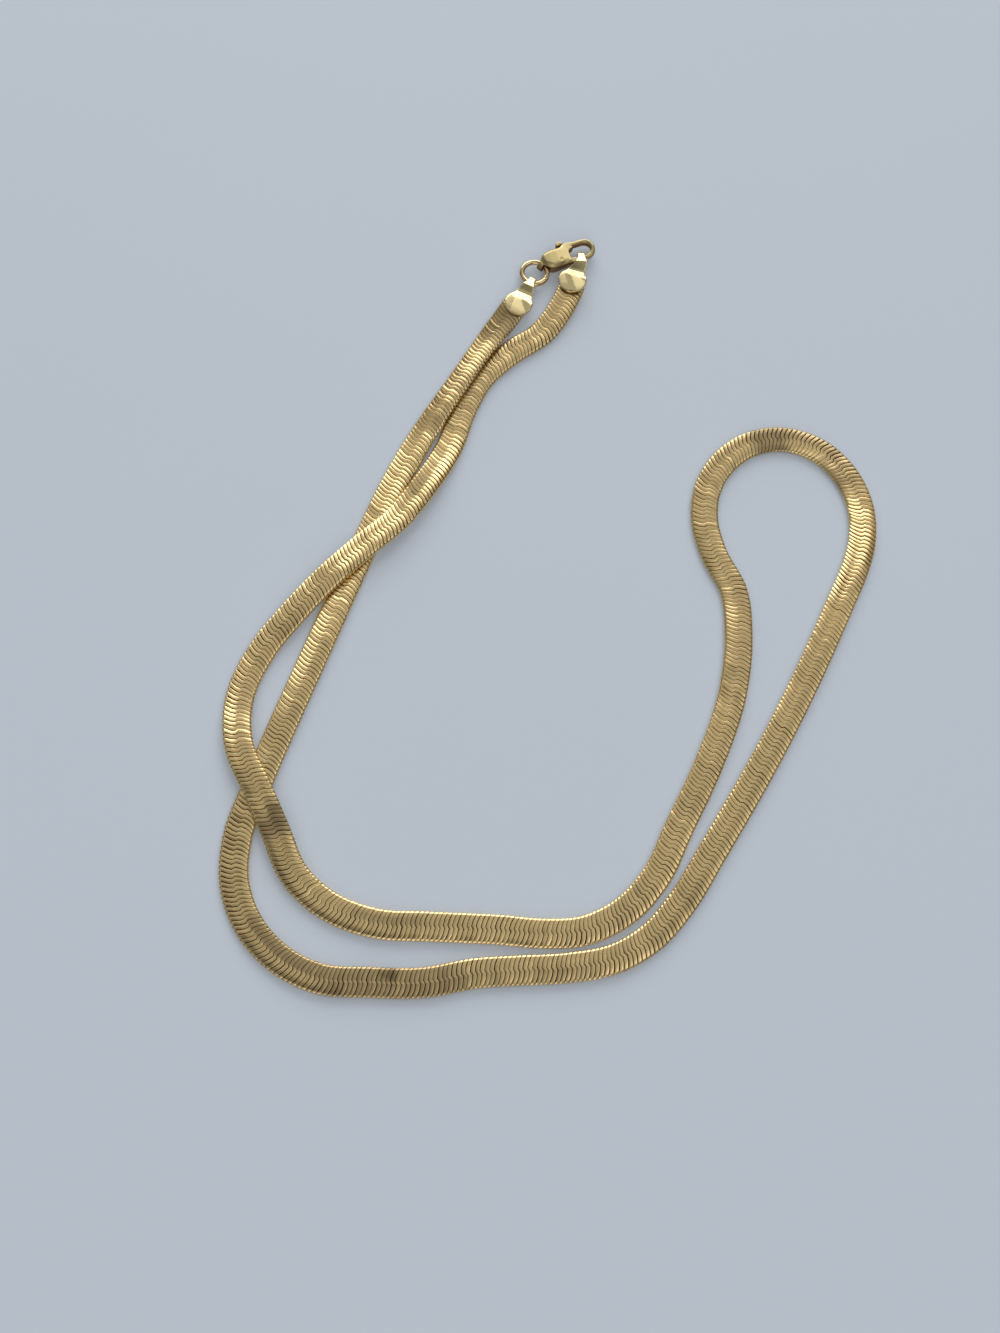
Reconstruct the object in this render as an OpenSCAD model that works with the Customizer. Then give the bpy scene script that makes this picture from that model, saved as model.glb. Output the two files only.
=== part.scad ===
// Flat herringbone chain necklace, closed on its clasp and lying on a table.
// The origin is under the middle of the necklace, on the table. +Z is up,
// +Y runs towards the clasp, and every size is in millimetres.

/* [Chain] */
// Width of the flat chain
chain_w = 5; // [4.6:0.1:5.2]
// Thickness of the flat chain
chain_t = 1.1; // [0.9:0.05:1.15]
// How far the rounded edge reaches in from each side
edge_round = 0.4; // [0.3:0.05:0.5]

/* [End caps] */
// Length of a cap from the middle of its fold to its rounded end
cap_len = 8.4; // [8.2:0.1:8.6]
// Greatest width of a cap
cap_w = 5.4; // [5:0.1:5.6]
// Width of the narrow strip that folds over
fold_w = 1.3; // [1.1:0.1:1.4]
// Thickness of the cap's sheet
cap_sheet = 0.35; // [0.3:0.01:0.38]
// How much the upper plate is domed
cap_dome = 0.28; // [0.1:0.02:0.3]

/* [Jump ring] */
// Diameter of the ring, from the middle of its wire
ring_d = 4.8; // [4.7:0.05:4.9]
// Diameter of the ring's wire
ring_wire = 1; // [0.8:0.05:1.05]

/* [Clasp] */
// Height of the clasp
clasp_h = 2.8; // [2.7:0.05:2.9]
// Width of the hook's bar
hook_w = 0.95; // [0.9:0.05:1]
// Height of the hook's bar, before it gets lower towards its round tip
hook_h = 1.6; // [1.4:0.05:1.7]
// Radius of the hook's bend, at the middle of its bar
hook_bend = 1.65; // [1.62:0.01:1.68]

/* [Lever] */
// Thickness of the lever
lever_t = 0.95; // [0.8:0.05:0.98]
// Radius of the thumb knob
knob_r = 0.7; // [0.6:0.05:0.72]
// Diameter of the lever's pin
pin_d = 0.6; // [0.5:0.05:0.64]

/* [Hidden] */

// The chain's route from the left cap round to the right cap.
// x, y = middle of the band, lift = height of its underside, roll = degrees that the band
// leans, where a positive roll raises the edge on the left hand of the way along.
route = [
  //  x,     y,   lift, roll
  [ -7.0,  58.0, 0.5,   0], [ -9.5,  54.0, 0.5,   0], [-12.5,  49.5, 0.15, 16], [-16.0,  44.0, 0,   24],
  [-18.2,  40.3, 0,    24], [-20.5,  36.5, 0,    21], [-24.8,  29.0, 0,    9], [-29.1,  20.5, 0,    0],
  [-34.5,   7.5, 0,     0], [-43.0, -14.5, 0,     0], [-51.0, -36.0, 0,    0], [-54.0, -45.5, 0,    0],
  [-54.0, -53.5, 0,     0], [-51.0, -60.5, 0,     0], [-46.0, -65.5, 0,    0], [-39.5, -68.5, 0,    0],
  [-32.0, -69.0, 0,     0], [-22.5, -69.0, 0,     0], [-14.5, -67.5, 0,    0], [ -7.0, -67.0, 0,    0],
  [  1.0, -66.5, 0,     0], [  8.5, -65.0, 0,     0], [ 14.5, -61.5, 0,    0], [ 19.5, -56.0, 0,    0],
  [ 25.0, -47.5, 0,     0], [ 38.0, -26.0, 0,     0], [ 50.5,  -1.5, 0,    0], [ 53.5,   5.0, 0,    0],
  [ 55.0,  10.0, 0,     0], [ 55.0,  17.5, 0,     0], [ 52.5,  23.5, 0,    0], [ 48.0,  28.0, 0,    0],
  [ 42.0,  30.0, 0,     0], [ 36.0,  29.0, 0,     0], [ 31.0,  25.5, 0,    0], [ 27.5,  20.0, 0,    0],
  [ 26.5,  13.5, 0,     0], [ 28.0,   6.5, 0,     0], [ 31.0,   0.0, 0,    0], [ 31.5,  -9.0, 0,    0],
  [ 30.0, -19.0, 0,     0], [ 25.0, -32.5, 0,     0], [ 19.5, -43.5, 0,    0], [ 15.5, -51.5, 0,    0],
  [ 10.5, -57.0, 0,     0], [  3.5, -60.5, 0,     0], [ -4.0, -61.0, 0,    0], [-10.0, -60.5, 0,    0],
  [-22.0, -60.0, 0,     0], [-31.0, -59.5, 0,     0], [-39.0, -56.5, 0,    0], [-44.5, -51.5, 0.4,  0],
  [-47.5, -45.0, 1.15,  0], [-51.0, -37.5, 1.2,   0], [-54.5, -30.0, 1.15, 0], [-55.0, -21.5, 0.2,  0],
  [-51.5, -12.5, 0.1,   0], [-47.0,  -6.5, 0.8,   0], [-41.0,   0.5, 1.2,  0], [-35.0,   6.5, 1.2,  0],
  [-29.0,  12.0, 1.2,   0], [-24.3,  18.5, 0.95,  4], [-19.8,  27.0, 0,    0], [-17.0,  35.5, 0,    0],
  [-14.0,  41.5, 0,     0], [ -8.5,  47.0, 0,     0], [ -2.5,  51.5, 0,    0], [  1.0,  56.5, 0.45, 0],
  [  3.5,  62.5, 0.68,  0]
];
// The route point where the outer run of the chain meets the inner run
split = 32;
// The gap left there, as a share of the stretch before the point
split_gap = 0.015;
// The largest turn between two sections, in degrees
max_turn = 7;

// Each cap: x, y and z of its fold's middle, the way it points, how far its fold is twisted
// from that, the fold's inner radius, and how far its upper and lower plates come down
cap_left = [-4.5, 62.1, 1.15, 64, 0, 0.7, 0.2, 0.04];
cap_right = [5, 67.58, 1.4, 72, 19, 0.8, 0.41, 0.2];
// Middle of the ring: x, y, z
ring_at = [-3.9, 64.15, 1.2];
// Where the clasp's tail is and which way the clasp points
clasp_at = [-2, 66.1];
clasp_turn = 21;
clasp_mid = clasp_h / 2;

// The outline of the clasp's body: the points of the curve from the gate's side round its tail and out
// along the hook's bar, and then the corners of its rounded end inside the hook: x, y
body_curve = [
  [5.15, -1.4], [4.1, -1.68], [2.9, -1.78], [1.7, -1.85], [0.85, -1.7], [0.15, -1.15], [-0.35, -0.5],
  [-0.5, 0.2], [-0.4, 1], [0, 1.5], [0.9, 1.88], [1.9, 2.02], [2.9, 2.08], [4, 2.24], [4.8, 2.42], [5.5, 2.52],
  [6.3, 2.54]
];
body_end = [[6.3, 1.18], [5.8, 1.12], [5.4, 0.92], [5.18, 0.6], [5.12, 0.2], [5.15, -0.6]];
curve_steps = 3;
// The body's side view: along the clasp, share of its height
body_side = [[-0.7, 0.84], [0.2, 0.97], [1.2, 1], [2.6, 0.97], [3.8, 0.84], [5, 0.66], [5.8, 0.59], [6.3, 0.57]];
// The slot that the lever swings in: x, y
slot_outline = [
  [2, 3], [4.85, 3], [4.75, 1.9], [4.3, 0.3], [5.9, 0.3], [5.9, -2.6], [4, -2.6], [4, -1.62], [3.2, -1.62],
  [2.6, -1.35], [2.42, -0.85]
];
slot_h = lever_t + 0.2;
// Depth of the prism that gives the body its side view, wider than the body
body_reach = 9;
// Where the hook's bend is centred, along and across the clasp
hook_mid = [8.35, 0.43];
// Where the hook's bar starts in the body and where its round tip ends, along the clasp
hook_root_x = 5;
hook_tip_x = 6.4;
hook_tip_d = 1;
tip_overlap = 0.1;
// The hook's side view: across the clasp, share of its height
hook_side = [[2.7, 1], [0.4, 1], [-1.8, 0.5]];
// The tail's eye: its middle, its outer radius, its width and the hole around the ring
eye_at = [-2.35, 66, 1.3];
eye_r = 1.25;
eye_w = 1;
eye_hole_r = 0.72;
eye_turn = 50;
// The lever turns on its pin here, and its parts end here
pivot = [3.2, -0.85];
knob = [3.95, 2.53];
gate_tip = [6.3, -1.22];
lever_disc_r = 0.65;
trigger_w = 0.8;
gate_w = 0.84;
gate_cut = 0.2;
// The knob is this high outside a line beside the body, and no higher than the lever inside it: x, y
knob_h = 2;
knob_foot = [[3, 2.28], [4, 2.42], [4.8, 2.6]];
// The pin turns freely in the lever
pin_play = 0.04;
pin_z = 0.2;

// The slopes of the chords between the route's points, and the chords' lengths
function chord(i) = norm([route[i + 1][0] - route[i][0], route[i + 1][1] - route[i][1]]);
function slope(i) = (route[i + 1] - route[i]) / chord(i);
// The slope at a point: its two chords' slopes, each weighted by the other's length
function tangent(i) =
  i == 0 ? 2 * slope(0) - tangent(1) :
  i == len(route) - 1 ? 2 * slope(i - 1) - tangent(i - 1) :
  (chord(i) * slope(i - 1) + chord(i - 1) * slope(i)) / (chord(i) + chord(i - 1));
// A cubic curve through the route's points, at a share t of the stretch after point i
function on_route(i, t) =
  (2 * t^3 - 3 * t^2 + 1) * route[i] + (t^3 - 2 * t^2 + t) * chord(i) * tangent(i) +
  (3 * t^2 - 2 * t^3) * route[i + 1] + (t^3 - t^2) * chord(i) * tangent(i + 1);
// The way along that curve, level with the table
function along_route(i, t) =
  let (d = 6 * (t^2 - t) * route[i] + (3 * t^2 - 4 * t + 1) * chord(i) * tangent(i) +
           6 * (t - t^2) * route[i + 1] + (3 * t^2 - 2 * t) * chord(i) * tangent(i + 1))
  [d[0], d[1]] / norm([d[0], d[1]]);
// How many sections the stretch after point i needs for its bend
function turn_in(i) =
  let (a = along_route(i, 0), b = along_route(i, 1)) acos(min(1, a * b));
function sections_in(i) = max(1, ceil(turn_in(i) / max_turn));

// The flat section of the chain: across, up
section = let (w = chain_w / 2, t = chain_t / 2, e = edge_round)
  [[w, -t / 2], [w, t / 2], [w - e, t], [e - w, t], [-w, t / 2], [-w, -t / 2], [e - w, -t], [w - e, -t]];
// One section of the band, in its place on the route
function band_ring(i, t) =
  let (p = on_route(i, t), d = along_route(i, t), roll = p[3],
       rise = (chain_w / 2 - edge_round) * abs(sin(roll)) + chain_t / 2 * cos(roll),
       middle = [p[0], p[1], max(0, p[2]) + rise],
       across = [-d[1] * cos(roll), d[0] * cos(roll), sin(roll)],
       up = [d[1] * sin(roll), -d[0] * sin(roll), cos(roll)])
  [for (s = section) middle + s[0] * across + s[1] * up];
// The sections from route point a to route point b, where the last stretch may be cut short
function band_rings(a, b, cut) =
  [for (i = [a:b - 1]) let (n = sections_in(i)) for (k = [0:n - 1]) band_ring(i, k / n),
   band_ring(b - 1, 1 - cut)];

// A closed solid through a list of rings that all have the same even number of points, where
// the first half of a ring runs one way across the sheet and the second half runs back
module skin_rings(rings) {
  n = len(rings[0]);
  m = len(rings);
  points = [for (ring = rings) for (p = ring) p];
  sides = [for (i = [0:m - 2]) for (j = [0:n - 1]) let (k = (j + 1) % n)
           each [[i * n + j, (i + 1) * n + j, (i + 1) * n + k], [i * n + j, (i + 1) * n + k, i * n + k]]];
  first = [for (j = [0:n / 2 - 2]) [j, j + 1, n - 2 - j, n - 1 - j]];
  last = [for (f = first) [for (k = [3:-1:0]) (m - 1) * n + f[k]]];
  polyhedron(points, concat(sides, first, last));
}

// The pear shape of a cap's plates: distance from the fold's middle as a share of the plate's
// length, and the width there as a share of its greatest width
cap_shape = [
  [0, 0.24], [0.07, 0.29], [0.17, 0.42], [0.27, 0.5], [0.36, 0.55], [0.42, 0.64], [0.48, 0.76],
  [0.56, 0.93], [0.65, 1], [0.75, 0.99], [0.83, 0.9], [0.9, 0.75], [0.95, 0.55], [0.98, 0.35], [1, 0.13]
];
// The lower plate is smaller than the upper one
back_len = 6.8;
back_share = 0.8;
function plate_half(u, upper) =
  let (share = u / (upper ? cap_len : back_len), most = (upper ? 1 : back_share) * cap_w / 2)
  max(share < 0.5 ? fold_w / 2 : 0, most * lookup(share, cap_shape));
// A number that rises smoothly from 0 at a to 1 at b
function ease(a, b, x) = let (t = min(1, max(0, (x - a) / (b - a)))) t * t * (3 - 2 * t);
// The sheet's middle as seen from the cap's side: distance from the fold's middle towards the
// chain, height over that middle, and the way the sheet faces, in degrees over level
plate_steps = [1, 0.99, 0.965, 0.935, 0.9, 0.85, 0.79, 0.73, 0.66, 0.59, 0.53, 0.48, 0.43, 0.38, 0.32,
               0.26, 0.2, 0.14, 0.07];
function cap_path(r) = concat(
  [for (share = plate_steps) [share * cap_len, r, 90]],
  [for (a = [90:-18:-90]) [-r * cos(a), r * sin(a), a]],
  [for (k = [len(plate_steps) - 1:-1:0]) [plate_steps[k] * back_len, -r, -90]]);
lateral = [for (j = [-4:4]) j / 4];
// Along a cap: where its fold's twist fades, where its plates come down, and where its dome rises
twist_fades = [0.4, 3.8];
plate_falls = [1.5, 3.9];
dome_rises = [3.4, 4.9];

module end_cap(place) {
  r = place[5] + cap_sheet / 2;
  // A ring goes once round the sheet: its outer side one way, then its inner side back
  rings = [for (s = cap_path(r))
    let (u = s[0],
         upper = s[2] == 90,
         half = u <= 0 ? fold_w / 2 : plate_half(u, upper),
         twist = place[4] * (1 - ease(twist_fades[0], twist_fades[1], u)),
         dome = (upper ? cap_dome : 0) * ease(dome_rises[0], dome_rises[1], u),
         drop = (upper ? place[6] : place[7]) * ease(plate_falls[0], plate_falls[1], u),
         half_sheet = cap_sheet / 2 * [-cos(s[2]), sin(s[2])])
    [for (side = [1, -1]) for (k = [0:len(lateral) - 1])
      let (j = side > 0 ? lateral[k] : lateral[len(lateral) - 1 - k],
           along = u + side * half_sheet[0],
           out = half * j,
           up = s[1] + side * half_sheet[1] + dome * (1 - j * j) - drop)
      [along * cos(twist) - out * sin(twist), along * sin(twist) + out * cos(twist), up]]];
  color([0.80, 0.68, 0.40])
    translate([place[0], place[1], place[2]]) rotate([0, 0, place[3] + 180])
      skin_rings(rings);
}

module chain_outer_run() {
  color([0.74, 0.62, 0.40]) skin_rings(band_rings(0, split, split_gap));
}

module chain_inner_run() {
  color([0.74, 0.62, 0.40]) skin_rings(band_rings(split, len(route) - 1, 0));
}

module end_cap_left() {
  end_cap(cap_left);
}

module end_cap_right() {
  end_cap(cap_right);
}

// A round wire bent to a ring, in its place
module ring_of_wire(wire_r) {
  translate(ring_at) rotate_extrude($fn = 96) translate([ring_d / 2, 0]) circle(wire_r, $fn = 40);
}

module jump_ring() {
  color([0.78, 0.62, 0.42]) ring_of_wire(ring_wire / 2);
}

module at_clasp() {
  translate([clasp_at[0], clasp_at[1], 0]) rotate([0, 0, clasp_turn]) children();
}

// A smooth open curve through points: between two of them it leaves the first along the chord of
// its neighbours, and reaches the second in the same way
function curve_through(points, steps) = let (n = len(points) - 1)
  [for (i = [0:n - 1]) for (k = [0:steps - 1])
     let (t = k / steps, a = points[max(0, i - 1)], b = points[i], c = points[i + 1], d = points[min(n, i + 2)])
     b + ((c - a) * t + (2 * a - 5 * b + 4 * c - d) * t^2 + (3 * b - a - 3 * c + d) * t^3) / 2,
   points[n]];

// A side view with the same heights above and below the clasp's middle
function both_ways(side, half_height) = [
  for (p = side) [p[0], clasp_mid + p[1] * half_height],
  for (k = [len(side) - 1:-1:0]) [side[k][0], clasp_mid - side[k][1] * half_height]];

// The clasp's body without its slot: flat above and below, and lower towards its tail and the hook
module body_block() {
  intersection() {
    linear_extrude(clasp_h) polygon(concat(curve_through(body_curve, curve_steps), body_end));
    translate([0, body_reach / 2, 0]) rotate([90, 0, 0]) linear_extrude(body_reach)
      polygon(both_ways(body_side, clasp_h / 2));
  }
}

// The hook's bar from above: out along the far side and round the bend
module hook_outline() {
  translate([hook_root_x, hook_mid[1] + hook_bend - hook_w / 2]) square([hook_mid[0] - hook_root_x, hook_w]);
  translate(hook_mid) difference() {
    circle(hook_bend + hook_w / 2, $fn = 120);
    circle(hook_bend - hook_w / 2, $fn = 96);
    translate([-2 * hook_bend, -2 * hook_bend]) square([2 * hook_bend, 4 * hook_bend]);
  }
}

// The hook, which gets lower round its bend, and its round tip
module hook() {
  intersection() {
    linear_extrude(clasp_h) hook_outline();
    rotate([90, 0, 90]) linear_extrude(hook_mid[0] + 2 * hook_bend)
      polygon(both_ways(hook_side, hook_h / 2));
  }
  translate([hook_tip_x, hook_mid[1] - hook_bend, clasp_mid]) rotate([0, 90, 0])
    cylinder(d = hook_tip_d, h = hook_mid[0] + tip_overlap - hook_tip_x, $fn = 40);
}

module tail_eye() {
  translate(eye_at) rotate([0, 0, eye_turn]) rotate([90, 0, 0])
    cylinder(r = eye_r, h = eye_w, center = true, $fn = 64);
}

// The hole around the pin, which runs out above and below
module pin_bore() {
  translate([pivot[0], pivot[1], -1]) cylinder(d = pin_d + 2 * pin_play, h = clasp_h + 2, $fn = 40);
}

module clasp_body() {
  color([0.62, 0.52, 0.32]) difference() {
    union() {
      at_clasp() difference() {
        body_block();
        translate([0, 0, clasp_mid - slot_h / 2]) linear_extrude(slot_h) polygon(slot_outline);
      }
      at_clasp() hook();
      tail_eye();
    }
    ring_of_wire(eye_hole_r);
    at_clasp() pin_bore();
  }
}

module clasp_lever() {
  color([0.70, 0.58, 0.36]) at_clasp() difference() {
    union() {
      translate([0, 0, clasp_mid - lever_t / 2]) {
        translate([pivot[0], pivot[1], 0]) cylinder(r = lever_disc_r, h = lever_t, $fn = 48);
        // The trigger's arm, from the disc round the pin up to the thumb knob
        linear_extrude(lever_t) polygon([
          pivot + [-0.6, 0.2], pivot + [0.5, -0.3], knob + [trigger_w / 2, 0], knob - [trigger_w / 2, 0]]);
        // The gate's arm, up to the hook's tip, with its corners cut off
        linear_extrude(lever_t) polygon([
          pivot + [0, 0.6], pivot - [0, lever_disc_r],
          gate_tip + [-gate_cut, -gate_w / 2], gate_tip + [0, gate_cut - gate_w / 2],
          gate_tip + [0, gate_w / 2 - gate_cut], gate_tip + [-gate_cut, gate_w / 2]]);
      }
      difference() {
        translate([knob[0], knob[1], clasp_mid]) cylinder(r = knob_r, h = knob_h, center = true, $fn = 64);
        for (side = [1, -1]) translate([0, 0, clasp_mid + side * (lever_t + knob_h) / 2])
          linear_extrude(knob_h, center = true)
            polygon(concat(knob_foot, [knob_foot[2] - [0, 2 * knob_r], knob_foot[0] - [0, 2 * knob_r]]));
      }
    }
    pin_bore();
  }
}

module lever_pin() {
  color([0.66, 0.54, 0.34]) at_clasp()
    translate([pivot[0], pivot[1], pin_z]) cylinder(d = pin_d, h = clasp_h - 2 * pin_z, $fn = 40);
}

chain_outer_run();
chain_inner_run();
end_cap_left();
end_cap_right();
jump_ring();
clasp_body();
clasp_lever();
lever_pin();
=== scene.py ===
"""A flat herringbone chain necklace on a pale table: its finishes, light and camera."""

import math

import bmesh
import bpy
import numpy as np
from mathutils import Matrix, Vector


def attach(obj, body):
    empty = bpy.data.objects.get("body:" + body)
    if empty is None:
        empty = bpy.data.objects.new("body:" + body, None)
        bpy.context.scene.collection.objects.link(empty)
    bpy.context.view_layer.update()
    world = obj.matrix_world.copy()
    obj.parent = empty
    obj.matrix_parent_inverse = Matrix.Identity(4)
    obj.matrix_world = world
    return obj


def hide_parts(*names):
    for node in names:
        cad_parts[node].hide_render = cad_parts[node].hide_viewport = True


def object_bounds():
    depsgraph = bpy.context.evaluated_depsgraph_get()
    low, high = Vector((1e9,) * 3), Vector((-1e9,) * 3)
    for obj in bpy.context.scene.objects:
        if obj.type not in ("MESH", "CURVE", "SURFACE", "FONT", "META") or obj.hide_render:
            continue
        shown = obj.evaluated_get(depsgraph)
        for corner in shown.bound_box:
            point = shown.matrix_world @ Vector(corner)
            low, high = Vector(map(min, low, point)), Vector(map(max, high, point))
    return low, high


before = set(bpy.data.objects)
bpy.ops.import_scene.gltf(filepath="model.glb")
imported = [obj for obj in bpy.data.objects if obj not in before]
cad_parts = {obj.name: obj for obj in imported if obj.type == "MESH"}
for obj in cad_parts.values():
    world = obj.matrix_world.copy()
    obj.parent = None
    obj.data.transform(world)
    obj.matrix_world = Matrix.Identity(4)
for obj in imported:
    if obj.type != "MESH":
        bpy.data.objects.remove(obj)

bl_info = {
    "name": "Flat chain necklace",
    "version": (1, 0, 0),
    "blender": (4, 5, 0),
    "location": "3D View > Sidebar > Necklace",
    "description": "Makes a herringbone chain with its end caps, ring and clasp",
    "category": "Add Mesh",
}

MM = 0.001
CAD_BOX = [list(corner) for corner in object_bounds()]

# The chain's route from the left cap round to the right cap, the same points as the
# source's: x, y, height of the underside, all in metres, and the band's lean in degrees.
ROUTE = np.array([
    (-0.0070, 0.0580, 0.00050, 0), (-0.0095, 0.0540, 0.00050, 0), (-0.0125, 0.0495, 0.00015, 16),
    (-0.0160, 0.0440, 0, 24), (-0.0182, 0.0403, 0, 24), (-0.0205, 0.0365, 0, 21),
    (-0.0248, 0.0290, 0, 9), (-0.0291, 0.0205, 0, 0), (-0.0345, 0.0075, 0, 0),
    (-0.0430, -0.0145, 0, 0), (-0.0510, -0.0360, 0, 0), (-0.0540, -0.0455, 0, 0),
    (-0.0540, -0.0535, 0, 0), (-0.0510, -0.0605, 0, 0), (-0.0460, -0.0655, 0, 0),
    (-0.0395, -0.0685, 0, 0), (-0.0320, -0.0690, 0, 0), (-0.0225, -0.0690, 0, 0),
    (-0.0145, -0.0675, 0, 0), (-0.0070, -0.0670, 0, 0), (0.0010, -0.0665, 0, 0),
    (0.0085, -0.0650, 0, 0), (0.0145, -0.0615, 0, 0), (0.0195, -0.0560, 0, 0),
    (0.0250, -0.0475, 0, 0), (0.0380, -0.0260, 0, 0), (0.0505, -0.0015, 0, 0),
    (0.0535, 0.0050, 0, 0), (0.0550, 0.0100, 0, 0), (0.0550, 0.0175, 0, 0),
    (0.0525, 0.0235, 0, 0), (0.0480, 0.0280, 0, 0), (0.0420, 0.0300, 0, 0),
    (0.0360, 0.0290, 0, 0), (0.0310, 0.0255, 0, 0), (0.0275, 0.0200, 0, 0),
    (0.0265, 0.0135, 0, 0), (0.0280, 0.0065, 0, 0), (0.0310, 0.0000, 0, 0),
    (0.0315, -0.0090, 0, 0), (0.0300, -0.0190, 0, 0), (0.0250, -0.0325, 0, 0),
    (0.0195, -0.0435, 0, 0), (0.0155, -0.0515, 0, 0), (0.0105, -0.0570, 0, 0),
    (0.0035, -0.0605, 0, 0), (-0.0040, -0.0610, 0, 0), (-0.0100, -0.0605, 0, 0),
    (-0.0220, -0.0600, 0, 0), (-0.0310, -0.0595, 0, 0), (-0.0390, -0.0565, 0, 0),
    (-0.0445, -0.0515, 0.00040, 0), (-0.0475, -0.0450, 0.00115, 0), (-0.0510, -0.0375, 0.00120, 0),
    (-0.0545, -0.0300, 0.00115, 0), (-0.0550, -0.0215, 0.00020, 0), (-0.0515, -0.0125, 0.00010, 0),
    (-0.0470, -0.0065, 0.00080, 0), (-0.0410, 0.0005, 0.00120, 0), (-0.0350, 0.0065, 0.00120, 0),
    (-0.0290, 0.0120, 0.00120, 0), (-0.0243, 0.0185, 0.00095, 4), (-0.0198, 0.0270, 0, 0),
    (-0.0170, 0.0355, 0, 0), (-0.0140, 0.0415, 0, 0), (-0.0085, 0.0470, 0, 0),
    (-0.0025, 0.0515, 0, 0), (0.0010, 0.0565, 0.00045, 0), (0.0035, 0.0625, 0.00068, 0),
])
SAMPLES_A_STRETCH = 60
EDGE_ROUND = 0.4 * MM

# Each cap: x, y and z of its fold's middle, the way it points, the fold's own twist, its inner
# radius, and how far the lower plate comes down
CAP_LEFT = (-4.5 * MM, 62.1 * MM, 1.15 * MM, 64, 0, 0.7 * MM, 0.04 * MM)
CAP_RIGHT = (5 * MM, 67.58 * MM, 1.4 * MM, 72, 19, 0.8 * MM, 0.2 * MM)
# The pear shape of a cap's plates: share of the length, share of the half width
CAP_SHAPE = ((0, 0.24), (0.07, 0.29), (0.17, 0.42), (0.27, 0.5), (0.36, 0.55), (0.42, 0.64),
             (0.48, 0.76), (0.56, 0.93), (0.65, 1), (0.75, 0.99), (0.83, 0.9), (0.9, 0.75),
             (0.95, 0.55), (0.98, 0.35), (1, 0.13))
BACK_LENGTH = 6.8 * MM
BACK_SHARE = 0.8
# Along a cap: where its fold's twist fades, where its lower plate comes down, and where its dome rises
TWIST_FADES = (0.4 * MM, 3.8 * MM)
PLATE_FALLS = (1.5 * MM, 3.9 * MM)
DOME_RISES = (3.2 * MM, 5.2 * MM)
# How far a cap's upper plate starts below the source's, which leaves room for its rise
FOLD_DROP = 0.17 * MM
# The slope of each cap's upper plate away from its fold: distance along the cap, rise in degrees
SLOPES_LEFT = ((0, 12), (1.4 * MM, 12), (1.55 * MM, -17), (2.6 * MM, -16), (3.1 * MM, -6), (3.6 * MM, 9),
               (4.2 * MM, 7), (4.7 * MM, 3), (6.8 * MM, 2), (7.6 * MM, -3), (8.4 * MM, -10))
SLOPES_RIGHT = ((0, 13), (1.4 * MM, 13), (1.55 * MM, -21), (3.0 * MM, -19), (3.5 * MM, -3), (3.8 * MM, 17),
                (4.2 * MM, 17), (4.8 * MM, 2), (6.8 * MM, 1), (7.6 * MM, -3), (8.4 * MM, -10))
# Two creases pressed into each cap's dome from one point: along and across the cap at that point, at
# the right crease's end and at the left one's, then the fall beyond the right one and beyond the left
# one in degrees, where a rise is below zero. The plate is rubbed dull between them.
CREASES_LEFT = (3.8 * MM, -1.0 * MM, 7.4 * MM, 2.2 * MM, 7.9 * MM, -0.7 * MM, -13, 12)
CREASES_RIGHT = (3.7 * MM, -1.2 * MM, 5.6 * MM, 2.4 * MM, 7.5 * MM, 1.2 * MM, -8, 9)
CREASE_SOFT = 0.08 * MM
CREASE_REACH = 1.1 * MM
# Where the dull part fades, by the distance beyond its creases
DULL_FADES = (-0.1 * MM, 0.2 * MM)
# How far the dome's edge curls down, and how far in from the edge that starts
EDGE_CURL = 0.14 * MM
EDGE_CURL_REACH = 0.5 * MM
# A cap's steps along each plate, which crowd towards its end by this power, and round its fold
PLATE_STEPS = 110
PLATE_CROWDING = 1.3
FOLD_STEPS = 25
# The jump ring's centre and its solder seam's direction in degrees
RING_AT = (-3.9 * MM, 64.15 * MM, 1.2 * MM)
RING_SEAM = -35
# How much thinner the wire is at its seam, and how wide the seam is in radians
SEAM_DEPTH = 0.07
SEAM_WIDTH = 0.05
# The clasp's tail on the table and its turn in degrees
CLASP_AT = (-2 * MM, 66.1 * MM)
CLASP_TURN = 21
# Its hook, in the clasp's own directions: the bend's centre along and across and its radius, the bar's
# half width, its half height by the place across, and where along it turns oval and how much
HOOK_BEND = (8.35 * MM, 0.43 * MM, 1.65 * MM)
HOOK_HALF_WIDTH = 0.475 * MM
HOOK_HALF_HEIGHTS = ((-1.8 * MM, 0.4 * MM), (0.4 * MM, 0.8 * MM), (2.7 * MM, 0.8 * MM))
HOOK_ROUNDING = (5.6 * MM, 7 * MM, 0.44)
# The outline of its body, the same points as the source's, and its side view: along the
# clasp, half height. The rim's bevel: its width, its slope and the least half height it leaves.
BODY_OUTLINE = np.array([
    (5.15, -1.4), (4.1, -1.68), (2.9, -1.78), (1.7, -1.85), (0.85, -1.7), (0.15, -1.15), (-0.35, -0.5),
    (-0.5, 0.2), (-0.4, 1), (0, 1.5), (0.9, 1.88), (1.9, 2.02), (2.9, 2.08), (4, 2.24), (4.8, 2.42),
    (5.5, 2.52), (6.3, 2.54),
]) * MM
BODY_SIDE = np.array([
    (-0.7, 1.18), (0.2, 1.36), (1.2, 1.4), (2.6, 1.36), (3.8, 1.18), (5, 0.92), (5.8, 0.83), (6.3, 0.8),
]) * MM
RIM = (0.5 * MM, 1.1, 0.7 * MM)
# Along the clasp: where its bulk, which is rounded more, fades in and out
BULK = (-0.3 * MM, 0.5 * MM, 3.4 * MM, 4.8 * MM)
# Rounds of smoothing: the body's, its bulk's further ones, and the lever's
BODY_ROUNDS = (14, 24)
LEVER_ROUNDS = (10,)
# Side faces take stain and painted shade where their normal's upward share is below the first, and none above
# the second
WALL_SHADE_FADES = (0.15, 0.6)

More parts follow.
